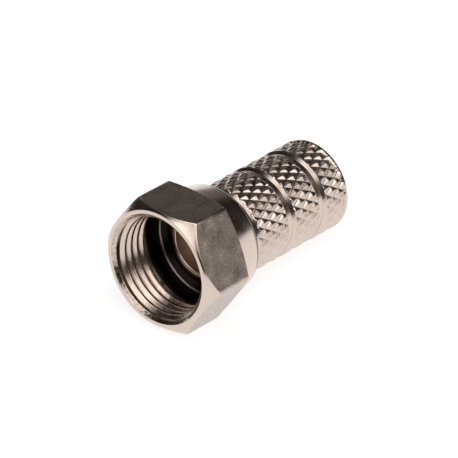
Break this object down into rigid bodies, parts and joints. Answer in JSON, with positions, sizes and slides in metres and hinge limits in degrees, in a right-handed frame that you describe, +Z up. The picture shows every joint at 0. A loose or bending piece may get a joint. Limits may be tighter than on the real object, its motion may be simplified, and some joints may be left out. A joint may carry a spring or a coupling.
{
  "type": "f connector",
  "caption": "Twist-on coaxial cable plug with a hexagonal coupling nut that spins on a knurled barrel, lying on its side.",
  "frame": {"origin": "on the surface that the plug lies on, under the middle of its length", "axes": "+Z up; +X from the open nut towards the cable end, level; the plug's own axis lies in the XZ plane and slopes down to the rear by 4.785 degrees"},
  "size_m": [0.0215, 0.0126, 0.0114],
  "materials": {
    "nut_nickel": "bright nickel plate over turned brass",
    "barrel_nickel": "bright nickel plate over knurled brass"
  },
  "bodies": {
    "cable_body": {"knurled_barrel": "barrel_nickel"},
    "nut_body": {"coupling_nut": "nut_nickel"}
  },
  "joints": [
    {"name": "nut_spin", "type": "hinge", "parent": "cable_body", "child": "nut_body", "pos_m": [-0.00336, 0, 0.00532], "axis": [-0.9965, 0, 0.0834], "continuous": true}
  ]
}
